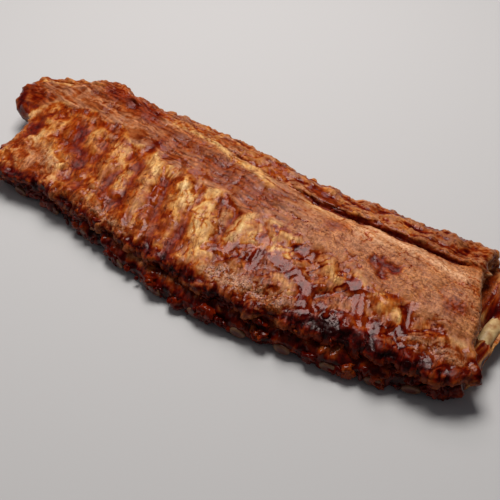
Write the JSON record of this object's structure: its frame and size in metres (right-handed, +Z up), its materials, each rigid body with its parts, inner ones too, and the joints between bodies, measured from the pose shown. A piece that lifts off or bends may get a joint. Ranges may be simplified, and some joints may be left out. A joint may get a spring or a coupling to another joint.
{
  "type": "rack of ribs",
  "caption": "Full rack of glazed pork loin back ribs lying meat side up, an arched slab with slanting rib bones that run through it and show at the cut edges.",
  "frame": {"origin": "centre of the footprint, on the surface that the rack lies on", "axes": "+Z up; +X along the rack, from its narrow end to its wide end; +Y from the rib tips to the chine edge"},
  "size_m": [0.4466, 0.1632, 0.0408],
  "materials": {
    "glazed_meat": "browned roast pork under a thin sticky sauce glaze, wet gloss in the hollows and dull on the crust",
    "rib_bone": "cooked ivory bone stained amber by the sauce, satin"
  },
  "bodies": {
    "root": {"meat": "glazed_meat", "rib_01": "rib_bone", "rib_02": "rib_bone", "rib_03": "rib_bone", "rib_04": "rib_bone", "rib_05": "rib_bone", "rib_06": "rib_bone", "rib_07": "rib_bone", "rib_08": "rib_bone", "rib_09": "rib_bone", "rib_10": "rib_bone", "rib_11": "rib_bone", "rib_12": "rib_bone"}
  },
  "joints": []
}
